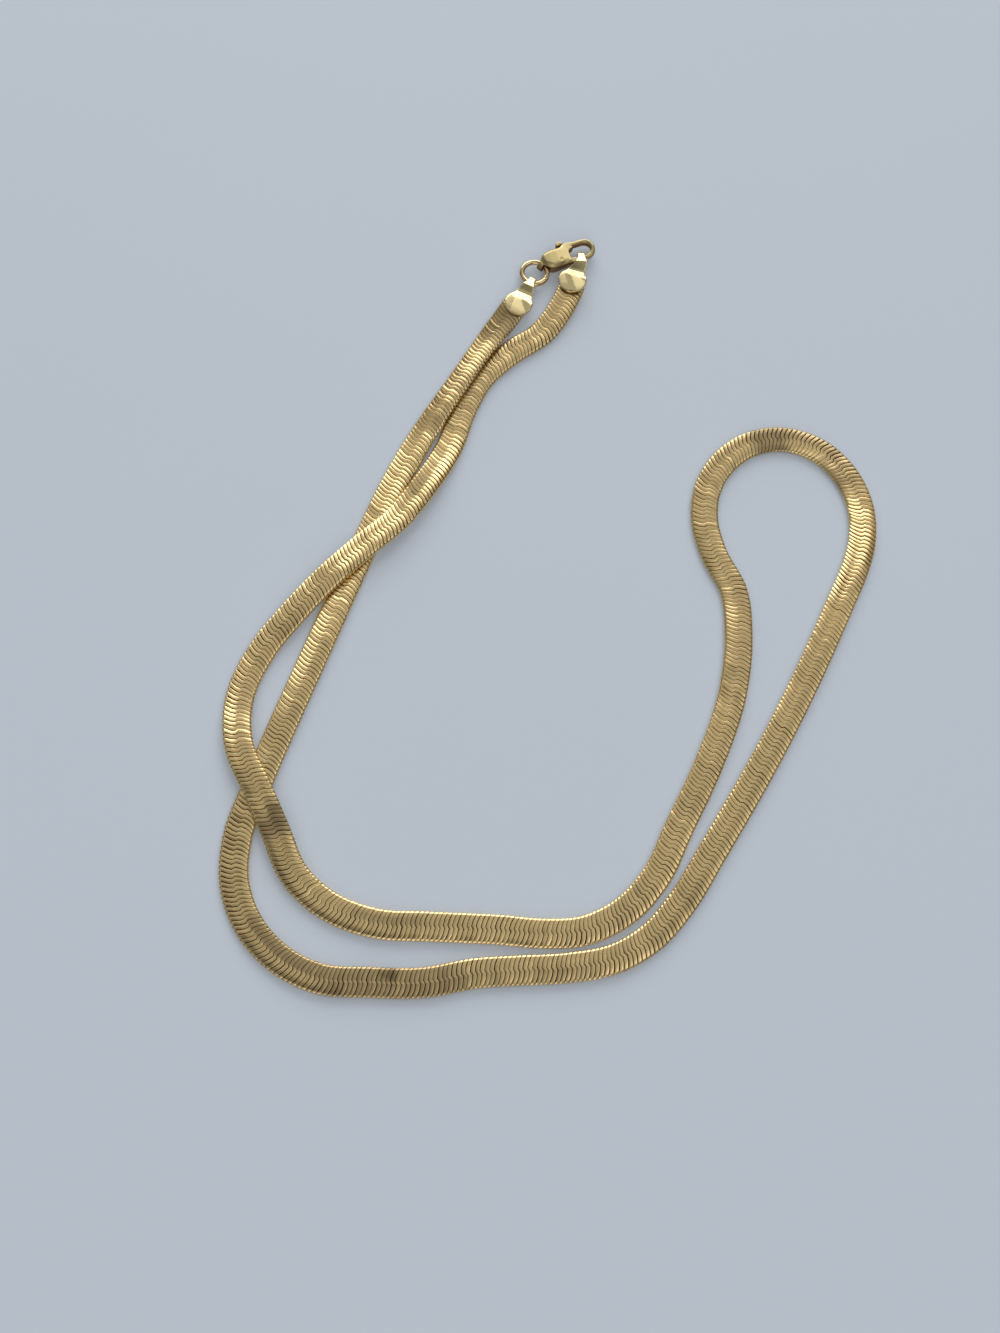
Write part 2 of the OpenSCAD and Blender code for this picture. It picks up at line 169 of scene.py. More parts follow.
# The camera stands over the origin's near left, in metres, and looks down at the table.
CAMERA_AT = (-0.0200, -0.0969, 0.2400)
CAMERA_TILT = 19.0
CAMERA_SWING = -7.0
FOCAL_PIXELS = 1460.0
PHOTO_HEIGHT = 1333.0
SENSOR = 36.0
TABLE_REACH = 1.5
# The soft light from all round: direction towards a part of the room, the angles from there at which
# it starts and stops fading, in degrees, its brightness and its colour. A part below zero is darker.
SKY_LIGHTS = (
    ((0, 0, 1), 60, 95, 0.26, (0.88, 0.96, 1.0)),
    ((0, 0, 1), 15, 75, 0.34, (1.0, 0.98, 0.94)),
    ((-0.35, 1, 0.3), 10, 22, 3.6, (1.0, 1.0, 0.98)),
    ((0.2, 1, 0.5), 12, 28, 3.2, (1.0, 1.0, 0.98)),
    ((0.5, -0.15, 0.85), 7, 20, 1.0, (1.0, 0.97, 0.92)),
    ((-0.05, -1, 0.42), 14, 28, 1.2, (1.0, 0.95, 0.88)),
    ((-0.28, -0.18, 0.94), 9, 24, -0.46, (1.0, 1.0, 1.0)),
)


class ChainSizes(bpy.types.PropertyGroup):
    width: bpy.props.FloatProperty(
        name="Width", description="Width of the flat chain", default=5 * MM, unit="LENGTH")
    thickness: bpy.props.FloatProperty(
        name="Thickness", description="Thickness of the flat chain", default=1.1 * MM, unit="LENGTH")
    pitch: bpy.props.FloatProperty(
        name="Pitch", description="Distance from one link to the next", default=0.77 * MM, unit="LENGTH")
    gap: bpy.props.FloatProperty(
        name="Gap", description="Gap between two links on a straight stretch", default=0.065 * MM,
        unit="LENGTH")
    unevenness: bpy.props.FloatProperty(
        name="Unevenness", description="How much the links differ in their lean", default=1.0)
    gold: bpy.props.FloatVectorProperty(
        name="Gold", description="Colour of the clean plate", subtype="COLOR", default=(0.92, 0.695, 0.345))
    # Also the colour of the painted darker reflection in the darkened patches.
    tarnish: bpy.props.FloatVectorProperty(
        name="Tarnish", description="Colour of the tarnished plate", subtype="COLOR",
        default=(0.22, 0.155, 0.085))


class FittingSizes(bpy.types.PropertyGroup):
    cap_length: bpy.props.FloatProperty(
        name="Cap length", description="From the fold's middle to the rounded end", default=8.4 * MM,
        unit="LENGTH")
    cap_width: bpy.props.FloatProperty(
        name="Cap width", description="Greatest width of a cap", default=5.4 * MM, unit="LENGTH")
    fold_width: bpy.props.FloatProperty(
        name="Fold width", description="Width of the strip that folds over", default=1.3 * MM,
        unit="LENGTH")
    cap_sheet: bpy.props.FloatProperty(
        name="Sheet", description="Thickness of the cap's sheet", default=0.35 * MM, unit="LENGTH")
    cap_dome: bpy.props.FloatProperty(
        name="Dome", description="How much the upper plate is domed", default=0.22 * MM, unit="LENGTH")
    ring_diameter: bpy.props.FloatProperty(
        name="Ring", description="Diameter of the jump ring's middle line", default=4.8 * MM, unit="LENGTH")
    ring_wire: bpy.props.FloatProperty(
        name="Ring wire", description="Thickness of the jump ring's wire", default=1 * MM, unit="LENGTH")
    clasp_grain: bpy.props.FloatProperty(
        name="Clasp rounding", description="Size of the cubes that round the clasp's edges",
        default=0.065 * MM, unit="LENGTH")
    cap_gold: bpy.props.FloatVectorProperty(
        name="Cap gold", description="Colour of the caps", subtype="COLOR", default=(0.84, 0.69, 0.37))
    ring_gold: bpy.props.FloatVectorProperty(
        name="Ring gold", description="Colour of the jump ring", subtype="COLOR", default=(0.78, 0.59, 0.33))
    clasp_gold: bpy.props.FloatVectorProperty(
        name="Clasp gold", description="Colour of the clasp", subtype="COLOR", default=(0.60, 0.485, 0.235))


class StageSettings(bpy.types.PropertyGroup):
    table_colour: bpy.props.FloatVectorProperty(
        name="Table", description="Colour of the table", subtype="COLOR", default=(0.63, 0.69, 0.79))
    sky: bpy.props.FloatProperty(
        name="Sky", description="Brightness of the soft light from all round", default=0.8)


class Term:
    """A shader value that works in Python expressions: each operation on it adds a Math node."""

    def __init__(self, finish, socket):
        self.finish = finish
        self.socket = socket

    def _math(self, operation, first, second):
        node = self.finish.node("ShaderNodeMath", {"operation": operation}, {0: first, 1: second})
        return node["Value"]

    def __add__(self, other):
        return self._math("ADD", self, other)

    def __mul__(self, other):
        return self._math("MULTIPLY", self, other)

    __radd__ = __add__
    __rmul__ = __mul__

    def clamp(self):
        return self._math("MINIMUM", self._math("MAXIMUM", self, 0.0), 1.0)


class Placed:
    """A node of a finish, whose outputs are read by name as terms."""

    def __init__(self, finish, node):
        self.finish = finish
        self.node = node

    def __getitem__(self, name):
        return Term(self.finish, self.node.outputs[name])


class Finish:
    """A node tree that is built by calls: a material's, or the world's."""

    def __init__(self, tree):
        self.tree = tree
        tree.nodes.clear()

    def node(self, kind, settings=None, sockets=None):
        """Adds a node, makes its settings, then fills its sockets with values or links."""
        node = self.tree.nodes.new(kind)
        for key, value in (settings or {}).items():
            if key == "stops":
                fill_ramp(node.color_ramp, value)
            else:
                setattr(node, key, value)
        for key, value in (sockets or {}).items():
            if isinstance(value, Term):
                self.tree.links.new(value.socket, node.inputs[key])
            else:
                node.inputs[key].default_value = value
        return Placed(self, node)

    def mix(self, factor, first, second):
        """A colour between two colours."""
        settings = {"data_type": "RGBA", "clamp_factor": True}
        node = self.node("ShaderNodeMix", settings, {0: factor, 6: first, 7: second})
        return Term(self, node.node.outputs[2])

    def noise(self, place, scale, detail=2.0, roughness=0.5):
        """Smooth noise from 0 to 1 with that many bumps to the metre."""
        sockets = {"Vector": place, "Scale": scale, "Detail": detail, "Roughness": roughness}
        return self.node("ShaderNodeTexNoise", {}, sockets)["Fac"]

    def step(self, value, low, high):
        """0 below low, 1 above high, and a smooth rise between them."""
        sockets = {"Value": value, "From Min": low, "From Max": high}
        return self.node("ShaderNodeMapRange", {"interpolation_type": "SMOOTHSTEP"}, sockets)["Result"]


def fill_ramp(ramp, stops):
    """Sets a colour ramp's stops from (place, colour) pairs."""
    while len(ramp.elements) < len(stops):
        ramp.elements.new(1.0)
    for element, (place, colour) in zip(ramp.elements, stops):
        element.position = place
        element.color = colour


def rgba(colour):
    return (*colour, 1.0)


def new_material(name):
    material = bpy.data.materials.new(name)
    material.use_nodes = True
    return material, Finish(material.node_tree)


# A plated finish: how dark its darker tint is and how much of it shows, and how much the fine noise,
# the mask of stain and painted shade, and a dull part change the roughness
DARKER_TINT = 0.86
TINT_SHARE = 0.5
FINE_ROUGHNESS = 0.16
MASKED_ROUGHNESS = 0.18
DULL_ROUGHNESS = (0.16, 0.2)


def plated_metal(name, clean, stain_and_shade_colour, roughness, stain_and_shade_mask, satin_mask=None, grain=2600.0, bump=0.15):
    """Plated metal: a mask says where it takes a darker colour, which is stain, and on the chain also painted
    darker reflection and on the clasp's side faces also painted shade; satin_mask says where it is rubbed
    dull. Fine noise changes the roughness, and a weak bump makes the surface a little uneven."""
    material, finish = new_material(name)
    place = finish.node("ShaderNodeTexCoord")["Object"]
    mask = stain_and_shade_mask(finish, place).clamp()
    fine = finish.noise(place, grain, 3.0, 0.6)
    broad = finish.noise(place, grain / 14, 2.0, 0.5)
    tint = finish.mix(broad * TINT_SHARE, rgba(clean), rgba([c * DARKER_TINT for c in clean]))
    colour = finish.mix(mask, tint, rgba(stain_and_shade_colour))
    rough = fine * FINE_ROUGHNESS + mask * MASKED_ROUGHNESS + (roughness - FINE_ROUGHNESS / 2)
    if satin_mask is not None:
        rubbed = finish.step(finish.noise(place, grain * 1.6, 4.0, 0.7), 0.4, 0.62)
        rough = rough + satin_mask(finish, place) * (DULL_ROUGHNESS[0] + DULL_ROUGHNESS[1] * rubbed)
    bumped = finish.node("ShaderNodeBump", {}, {
        "Strength": bump, "Distance": 0.00004, "Height": finish.noise(place, grain * 0.6, 3.0, 0.55)})
    shader = finish.node("ShaderNodeBsdfPrincipled", {}, {
        "Base Color": colour, "Roughness": rough.clamp(), "Metallic": 1.0, "Normal": bumped["Normal"]})
    finish.node("ShaderNodeOutputMaterial", {}, {"Surface": shader["BSDF"]})
    return material


def attribute(finish, name):
    """The value of a mesh's own attribute of that name."""
    return finish.node("ShaderNodeAttribute", {"attribute_name": name})["Fac"]


def add_attribute(piece, name, values):
    layer = piece.data.attributes.new(name, "FLOAT", "POINT")
    layer.data.foreach_set("value", np.ascontiguousarray(values, dtype=np.float32).ravel())


def new_piece(name, points, faces, materials, face_material=None, sharp_over=40):
    """A smooth-shaded mesh object at the origin from a point array and lists of faces. Edges that
    turn by more than sharp_over degrees stay sharp."""
    mesh = bpy.data.meshes.new(name)
    mesh.from_pydata(points.reshape(-1, 3).tolist(), [], faces)
    for material in materials:
        mesh.materials.append(material)
    if face_material is not None:
        mesh.polygons.foreach_set("material_index", face_material)
    mesh.polygons.foreach_set("use_smooth", np.ones(len(mesh.polygons), bool))
    mesh.validate()
    mesh.update()
    mesh.set_sharp_from_angle(angle=math.radians(sharp_over))
    piece = bpy.data.objects.new(name, mesh)
    bpy.context.scene.collection.objects.link(piece)
    return piece


def smooth_rise(low, high, x):
    """0 below low, 1 above high, and 3t^2 - 2t^3 between them."""
    t = np.clip((x - low) / (high - low), 0, 1)
    return t * t * (3 - 2 * t)


class Route:
    """The chain's middle line as a cubic curve through the route's points, by distance along it.

    The slope at a point is its two chords' slopes, each weighted by the other chord's length."""

    def __init__(self, thickness, width):
        chord = np.hypot(*np.diff(ROUTE[:, :2], axis=0).T)[:, None]
        slope = np.diff(ROUTE, axis=0) / chord
        tangent = np.empty_like(ROUTE)
        tangent[1:-1] = (chord[1:] * slope[:-1] + chord[:-1] * slope[1:]) / (chord[1:] + chord[:-1])
        tangent[0] = 2 * slope[0] - tangent[1]
        tangent[-1] = 2 * slope[-1] - tangent[-2]
        t = (np.arange(SAMPLES_A_STRETCH) / SAMPLES_A_STRETCH)[None, :, None]
        a, b = ROUTE[:-1, None], ROUTE[1:, None]
        ta, tb = tangent[:-1, None] * chord[:, None], tangent[1:, None] * chord[:, None]
        curve = ((2 * t**3 - 3 * t**2 + 1) * a + (t**3 - 2 * t**2 + t) * ta
                 + (3 * t**2 - 2 * t**3) * b + (t**3 - t**2) * tb)
        curve = np.vstack([curve.reshape(-1, 4), ROUTE[-1:]])
        step = np.gradient(curve[:, :2], axis=0)
        self.roll = np.radians(curve[:, 3])
        rise = (width / 2 - EDGE_ROUND) * np.abs(np.sin(self.roll)) + thickness / 2 * np.cos(self.roll)
        self.middle = np.column_stack([curve[:, :2], np.maximum(curve[:, 2], 0) + rise])
        self.along = np.concatenate([[0], np.cumsum(np.hypot(*np.diff(curve[:, :2], axis=0).T))])
        self.heading = np.unwrap(np.arctan2(step[:, 1], step[:, 0]))
        self.bend = np.gradient(self.heading, self.along)
        self.length = self.along[-1]

    def read(self, values, distance):
        return np.interp(distance, self.along, values)

    def place(self, distance, across, up):
        """Points at a distance along the route, across the band to its left, and up from its middle."""
        heading, roll = self.read(self.heading, distance), self.read(self.roll, distance)
        x, y, z = (self.read(self.middle[:, i], distance) for i in range(3))
        level = across * np.cos(roll) - up * np.sin(roll)
        return np.stack([x - np.sin(heading) * level, y + np.cos(heading) * level,
                         z + across * np.sin(roll) + up * np.cos(roll)], axis=-1)


# A link's stations: share of the half width across the chain from its right edge, and how much of
# its full width and height it has there. Its ends are rounded like beads.
LINK = np.array([
    (-1, 0.86, 0.4), (-0.93, 0.98, 0.79), (-0.82, 1, 1), (-0.45, 1, 1), (-0.11, 1, 1), (0, 1, 1),
    (0.11, 1, 1), (0.45, 1, 1), (0.82, 1, 1), (0.93, 0.98, 0.79), (1, 0.86, 0.4),
])
# How far forward a link runs at each place across the chain, from its middle to its left edge: the
# straight part, the part that grows with the square, and the step back round the middle
LINK_SLANT = 0.3 * MM
LINK_SWEEP = 0.62 * MM
LINK_STEP_BACK = 0.21 * MM
LINK_STEP_REACH = 0.08
# A link's section: share of its half width along the chain, share of its half thickness
LINK_SECTION = np.array([(-1, 0.74), (-0.86, 0.92), (0, 1), (0.86, 0.92), (1, 0.74), (0.85, -1), (-0.85, -1)])
LINK_SEED = 11
# The links' size as a share of the chain's: width, thickness, and the most of the pitch that one takes
LINK_WIDTH_SHARE = 0.985
LINK_THICKNESS_SHARE = 0.96
LINK_PITCH_SHARE = 0.97
# How much links differ: place along the chain, lean in radians, and the least gap and how much it
# grows as shares of the gap
PLACE_JITTER = 0.015 * MM
LEAN_JITTER = 0.035
GAP_SHARES = (0.6, 0.8)
# The inner ribbon: share of the chain's half width, share of its half thickness, distance from the
# chain's ends, and distance between its sections
CORE = (0.84, 0.4, 0.3 * MM, 1.2 * MM)


# Patches where the links lean and where they are darkened: start and end along the chain in millimetres, from
# which share of its half width to which, the links' lean in degrees, up at the forward edge, and darkening,
# as tarnished plate and painted darker reflection, where 1 is blotches and 1.7 is darkened all over
PATCHES = (
    (1, 10, -1, 1, -11, 0.6), (1, 34, -1, 0, -7, 0.2), (5, 31, 0, 1, -4, 0.2), (33, 66, 0.05, 1, 7, 0),
    (38, 66, -1, 0, 5, 0), (66, 92, -1, 0, 10, 0), (66, 76, 0, 1, 4, 0), (92, 106, -1, 0, 3, 0),
    (128, 166, 0.02, 1, -3, 0.85), (145, 168, -1, -0.02, -3, 0.95), (168, 188, -1, -0.02, -3, 0.5),
    (198, 262, -1, 0, 2, 0.25), (269, 290, 0, 1, -12, 0), (274, 287, -1, 0, -10, 0),
    (293, 300, -1, 1, -4, 0.6), (299, 308, -1, 0, -4, 0.9), (301, 307, 0.05, 0.8, 12, 0),
    (308, 315, -1, 1, -5, 1.2), (315, 366, -1, 1, -1, 0.3), (337, 345, -0.6, 0.2, -6, 0),
    (346, 364, -1, -0.1, 6, 0), (368, 392, 0, 1, 2, 0.25), (438, 443, -0.7, -0.1, 0, 0.35),
    (446, 458, -0.75, -0.1, 0, 0.6), (476.5, 480, 0, 0.9, 0, 1.1), (476.5, 482, -0.95, 0, 0, 1.3),
    (490, 527, 0.05, 1, -8, 0), (529, 550, 0, 1, -11, 0), (531, 565, -1, 0, -10, 0),
    (550, 562, 0, 1, 6, 0), (566, 606, -1, 1, 1, 0.25), (597, 604, -1, -0.2, -6, 0),
)


def patch_share(distance, side, start, end, right, left):
    """1 inside a patch and 0 outside: a smooth rise over 1.5 mm along the chain at each of its ends,
    and over a tenth of the half width at each of its sides."""
    fade, edge = 1.5 * MM, 0.05
    along = (smooth_rise(start * MM - fade, start * MM + fade, distance)
             * (1 - smooth_rise(end * MM - fade, end * MM + fade, distance)))
    return (along * smooth_rise(right - edge, right + edge, side)
            * (1 - smooth_rise(left - edge, left + edge, side)))


def link_lean(distance, side):
    """The links' lean in radians: the patches' leans, and a slow lean that differs between the two
    halves of the chain, a sum of sines of the distance along it."""
    lean = sum(np.radians(row[4]) * patch_share(distance, side, *row[:4]) for row in PATCHES)
    phase = np.where(side > 0, 0.0, 1.9)
    waves = ((0.021, 0.02, 0.4), (0.0087, 0.018, 2.1), (0.0043, 0.012, 4.0))
    return lean + sum(size * np.sin(2 * np.pi * distance / length + shift + phase)
                      for length, size, shift in waves)


def link_darkened_share(distance, side):
    """The links' darkening, as tarnished plate and painted darker reflection: the patches' values added up, 1
    for blotches and 1.7 for all over.
    """
    return np.clip(sum(row[5] * patch_share(distance, side, *row[:4]) for row in PATCHES), 0, 1.7)


def chain_links(sizes):
    """Points and faces of all the links: a seven-sided bar carried across the chain through LINK's
    stations, once for each pitch along the route and, at the share u of the half width,
    slant u + sweep u |u| - step back tanh(u / reach) forward of it. On a bend the bars crowd on the
    inside."""
    route = Route(sizes.thickness, sizes.width)
    rng = np.random.default_rng(LINK_SEED)
    count = int(route.length / sizes.pitch)
    start = ((np.arange(count) + 0.5) * route.length / count)[:, None]
    half = sizes.width / 2 * LINK_WIDTH_SHARE
    u, widths, heights = LINK.T[:, None, :]
    forward = LINK_SLANT * u + LINK_SWEEP * u * np.abs(u) - LINK_STEP_BACK * np.tanh(u / LINK_STEP_REACH)
    middle = start + forward + rng.normal(0, PLACE_JITTER, (count, 1)) * sizes.unevenness
    crowding = 1 - route.read(route.bend, middle) * u * half
    widest = sizes.pitch - sizes.gap * (GAP_SHARES[0] + GAP_SHARES[1] * rng.random((count, 1)) ** 2)
    bar = np.minimum(widest / crowding, LINK_PITCH_SHARE * sizes.pitch) / 2 * widths
    lean = link_lean(middle, u) + rng.normal(0, LEAN_JITTER, (count, 1)) * sizes.unevenness
    high = sizes.thickness / 2 * LINK_THICKNESS_SHARE
    along = bar[:, :, None] * LINK_SECTION[:, 0]
    up = high * heights[:, :, None] * LINK_SECTION[:, 1]
    lowest = -high * heights[:, :, None]
    up = np.clip(up + along * lean[:, :, None], lowest, sizes.thickness / 2)
    distance = np.clip(middle[:, :, None] + along, 0, route.length)
    points = route.place(distance, np.broadcast_to(u[:, :, None] * half, distance.shape), up)
    stations, corners = len(LINK), len(LINK_SECTION)
    link = np.arange(count)[:, None, None] * stations * corners
    row = np.arange(stations - 1)[None, :, None] * corners
    now, after = np.arange(corners), (np.arange(corners) + 1) % corners
    sides = np.stack([link + row + now, link + row + after, link + row + corners + after,
                      link + row + corners + now], axis=-1).reshape(-1, 4)
    first = (link[:, 0] + now[::-1]).tolist()
    last = (link[:, 0] + (stations - 1) * corners + now).tolist()
    return points, sides.tolist() + first + last, middle, route


def chain_core(route, sizes):
    """The links' inner bends as a flat ribbon inside the chain, near black as painted shade in the gaps
    between the links: a rectangle along the route.
    """
    wide, thick, inset, spacing = CORE
    distance = np.linspace(inset, route.length - inset, int(route.length / spacing))[:, None]
    across = np.array([1, -1, -1, 1]) * wide * sizes.width / 2
    up = np.array([1, 1, -1, -1]) * thick * sizes.thickness / 2
    points = route.place(distance + 0 * across, across + 0 * distance, up + 0 * distance)
    rows = (np.arange(len(distance) - 1) * 4)[:, None]
    now, after = np.arange(4), (np.arange(4) + 1) % 4
    sides = np.stack([rows + now, rows + 4 + now, rows + 4 + after, rows + after], axis=-1).reshape(-1, 4)
    end = (len(distance) - 1) * 4
    return points, sides.tolist() + [[0, 1, 2, 3], [end + 3, end + 2, end + 1, end]]


class NECKLACE_OT_chain(bpy.types.Operator):
    """Makes the herringbone chain's links along its route"""

    bl_idname = "necklace.chain"
    bl_label = "Chain"

    def execute(self, context):
        sizes = context.scene.necklace_chain
        points, faces, middle, route = chain_links(sizes)
        core_points, core_faces = chain_core(route, sizes)
        offset = points.size // 3
        faces_all = faces + [[offset + i for i in face] for face in core_faces]
        which = np.concatenate([np.zeros(len(faces), np.int32), np.ones(len(core_faces), np.int32)])

        # Darkened where the patches say, as tarnished plate and painted darker reflection, with random
        # blotches all over.
        def stains_and_shade(finish, place):
            darkened_share = attribute(finish, "tarnish")
            patches = finish.step(finish.noise(place, 160.0, 4.0, 0.6), 0.5, 0.75)
            return darkened_share * (0.6 + 0.4 * patches) + patches * 0.12

        links = plated_metal("chain_gold", sizes.gold, sizes.tarnish, 0.26, stains_and_shade)
        # The inner bends are coloured near black: painted shade in the deep gaps between the links.
        inner = plated_metal("shaded_inner_bends", (0.13, 0.06, 0.03), (0.06, 0.03, 0.015), 0.5,
                             lambda finish, place: finish.noise(place, 400.0))
        piece = new_piece("herringbone_chain", np.vstack([points.reshape(-1, 3), core_points.reshape(-1, 3)]),
                          faces_all, [links, inner], which)
        darkened_share = link_darkened_share(middle, LINK[None, :, 0])
        darkened_share = np.repeat(darkened_share[:, :, None], len(LINK_SECTION), axis=2).ravel()
        add_attribute(piece, "tarnish", np.concatenate([darkened_share, np.ones(core_points.size // 3)]))
        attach(piece, "root")
        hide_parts("chain_outer_run", "chain_inner_run")
        return {"FINISHED"}


def cap_side_view(sizes, place, steps=PLATE_STEPS):
    """The sheet's middle seen from the cap's side: distance from the fold, height, facing angle and
    which plate, from the upper plate's end (1) round the fold (0) to the lower plate's end (-1)."""
    radius = place[5] + sizes.cap_sheet / 2
    share = 1 - (1 - np.linspace(1, 0, steps + 1)[:-1]) ** PLATE_CROWDING
    turn = np.radians(np.linspace(90, -90, FOLD_STEPS))
    along = np.concatenate([share * sizes.cap_length, -radius * np.cos(turn), share[::-1] * BACK_LENGTH])
    height = np.concatenate([np.full(steps, radius), radius * np.sin(turn), np.full(steps, -radius)])
    facing = np.concatenate([np.full(steps, np.pi / 2), turn, np.full(steps, -np.pi / 2)])
    plate = np.concatenate([np.ones(steps), np.zeros(FOLD_STEPS), -np.ones(steps)])
    return along, height, facing, plate


def crease_drop(creases, along, across):
    """How far the dome drops beyond its two creases, and the distances beyond the right and the left
    one: a drop is the slope's tangent times sqrt(d^2 + s^2) - s, with d the distance up to the reach."""
    start = np.array(creases[:2])
    drop, beyond = 0, []
    for side, end, slope in ((1, creases[2:4], creases[6]), (-1, creases[4:6], creases[7])):
        line = (np.array(end) - start) / np.linalg.norm(np.array(end) - start)
        beyond.append(side * ((across - start[1]) * line[0] - (along - start[0]) * line[1]))
        distance = np.clip(beyond[-1], 0, CREASE_REACH)
        drop = drop + math.tan(math.radians(slope)) * (np.sqrt(distance**2 + CREASE_SOFT**2) - CREASE_SOFT)
    return drop, beyond


def cap_points(sizes, place, slopes, creases, lateral=34):
    """A cap's rings: once round the sheet at each step along its side view. Across the sheet the half
    thickness is a quarter circle near each edge. The plates' outline is their shape with its corners
    smoothed. The upper plate's height is its slopes' tangents summed up along it, plus a dome with two
    creases, whose edges curl down."""
    along, height, facing, plate = cap_side_view(sizes, place)
    shares, widths = np.linspace(-0.1, 1.1, 481), np.hanning(25) / np.hanning(25).sum()
    outline = np.convolve(np.interp(shares, *np.array(CAP_SHAPE).T, right=0), widths, "same")
    length = np.where(plate < 0, BACK_LENGTH, sizes.cap_length)
    share = np.clip(along / length, 0, 1)
    half = np.where(plate < 0, BACK_SHARE, 1) * sizes.cap_width / 2 * np.interp(share, shares, outline)
    half = np.where(share < 0.5, np.maximum(sizes.fold_width / 2, half), half)
    j = np.cos(np.linspace(0, np.pi, lateral))[::-1]
    rim = sizes.cap_sheet / 2
    to_edge = (1 - np.abs(j))[None, :] * half[:, None]
    thick = rim * np.sqrt(np.clip(1 - (1 - np.clip(to_edge / rim, 0, 1)) ** 2, 0, 1))
    end = np.clip((length - along) / rim, 0, 1)
    thick = thick * np.where(along > 0, np.sqrt(1 - (1 - end) ** 2), 1)[:, None]
    across = half[:, None] * j
    upper = (plate > 0)[:, None]
    reach = np.linspace(0, sizes.cap_length, 400)
    rise = np.tan(np.radians(np.interp(reach, *np.array(slopes).T))) * (reach[1] - reach[0])
    profile = np.interp(along, reach, np.cumsum(rise) - rise[0]) * (plate > 0)
    level = profile - FOLD_DROP * np.clip(np.sin(facing), 0, 1)
    level = level - np.where(plate < 0, place[6], 0) * smooth_rise(*PLATE_FALLS, along)
    drop, beyond = crease_drop(creases, along[:, None], across)
    edge = np.minimum(to_edge, (length - along)[:, None])
    curl = EDGE_CURL * (1 - np.sqrt(1 - (1 - np.clip(edge / EDGE_CURL_REACH, 0, 1)) ** 2))
    rising = upper * smooth_rise(*DOME_RISES, along)[:, None]
    lift = level[:, None] + (sizes.cap_dome - drop - curl) * rising
    satin = rising * (1 - smooth_rise(*DULL_FADES, np.maximum(*beyond)))
    twist = np.radians(place[4]) * (1 - smooth_rise(*TWIST_FADES, along))
    sides, rubbed = [], []
    for side in (1, -1):
        offset = side * thick[:, ::side]
        u = along[:, None] - offset * np.cos(facing)[:, None]
        z = height[:, None] + offset * np.sin(facing)[:, None] + lift[:, ::side]
        x = u * np.cos(twist)[:, None] - across[:, ::side] * np.sin(twist)[:, None]
        y = u * np.sin(twist)[:, None] + across[:, ::side] * np.cos(twist)[:, None]
        part = slice(None) if side > 0 else slice(1, -1)
        sides.append(np.stack([x, y, z], axis=-1)[:, part])
        rubbed.append((satin[:, ::side])[:, part])
    local = np.concatenate(sides, axis=1)
    turn = np.array(Matrix.Rotation(math.radians(place[3] + 180), 3, "Z"))
    return local @ turn.T + np.array(place[:3]), np.concatenate(rubbed, axis=1)


def tube_faces(rings, corners):
    """Quads between the rings of a closed tube, and one flat face over each of its ends."""
    rows = (np.arange(rings - 1) * corners)[:, None]
    now, after = np.arange(corners), (np.arange(corners) + 1) % corners
    quads = np.stack([rows + now, rows + corners + now, rows + corners + after, rows + after], axis=-1)
    last = (rings - 1) * corners
    ends = [list(range(corners)), [last + i for i in reversed(range(corners))]]
    return quads.reshape(-1, 4).tolist() + ends


class NECKLACE_OT_caps(bpy.types.Operator):
    """Makes the two folded end caps"""

    bl_idname = "necklace.caps"
    bl_label = "End caps"

    def execute(self, context):
        sizes = context.scene.necklace_fittings
        gold = plated_metal(
            "cap_gold", sizes.cap_gold, (0.45, 0.32, 0.14), 0.2,
            lambda finish, place: finish.step(finish.noise(place, 260.0, 3.0), 0.55, 0.8) * 0.35,
            lambda finish, place: attribute(finish, "rubbed"))
        for name, place, slopes, creases in (
            ("end_cap_left", CAP_LEFT, SLOPES_LEFT, CREASES_LEFT),
            ("end_cap_right", CAP_RIGHT, SLOPES_RIGHT, CREASES_RIGHT),
        ):
            points, rubbed = cap_points(sizes, place, slopes, creases)
            piece = new_piece("folded_" + name, points, tube_faces(*points.shape[:2]), [gold])
            add_attribute(piece, "rubbed", rubbed)
            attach(piece, "root")
            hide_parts(name)
        return {"FINISHED"}


class NECKLACE_OT_ring(bpy.types.Operator):
    """Makes the jump ring"""

    bl_idname = "necklace.ring"
    bl_label = "Jump ring"

    def execute(self, context):
        sizes = context.scene.necklace_fittings
        points = ring_points(sizes)
        gold = plated_metal(
            "ring_gold", sizes.ring_gold, (0.42, 0.24, 0.13), 0.17,
            lambda finish, place: finish.step(finish.noise(place, 420.0, 3.0), 0.5, 0.75) * 0.6)
        piece = new_piece("round_jump_ring", points, grid_faces(*points.shape[:2]), [gold])
        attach(piece, "root")
        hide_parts("jump_ring")
        return {"FINISHED"}


def grid_faces(rings, corners):
    """Quads of a surface that closes on itself both ways."""
    row, after_row = np.arange(rings)[:, None], (np.arange(rings)[:, None] + 1) % rings
    now, after = np.arange(corners), (np.arange(corners) + 1) % corners
    quads = [row * corners + now, after_row * corners + now, after_row * corners + after,
             row * corners + after]
    return np.stack(quads, axis=-1).reshape(-1, 4).tolist()


def ring_points(sizes, rings=180, corners=28):
    """The ring: a circle of wire carried round a circle. The wire is thinner in a narrow bell round its
    solder seam."""
    round_ring = (np.arange(rings) * 2 * np.pi / rings)[:, None]
    round_wire = np.arange(corners) * 2 * np.pi / corners
    from_seam = (round_ring - math.radians(RING_SEAM) + np.pi) % (2 * np.pi) - np.pi
    wire = sizes.ring_wire / 2 * (1 - SEAM_DEPTH * np.exp(-(from_seam / SEAM_WIDTH) ** 2))
    out = sizes.ring_diameter / 2 + wire * np.cos(round_wire)
    height = wire * np.sin(round_wire)
    return np.stack([out * np.cos(round_ring), out * np.sin(round_ring), height], axis=-1) + np.array(RING_AT)


def mesh_points(mesh):
    points = np.empty(3 * len(mesh.vertices), dtype=np.float32)
    mesh.vertices.foreach_get("co", points)
    return points.reshape(-1, 3)


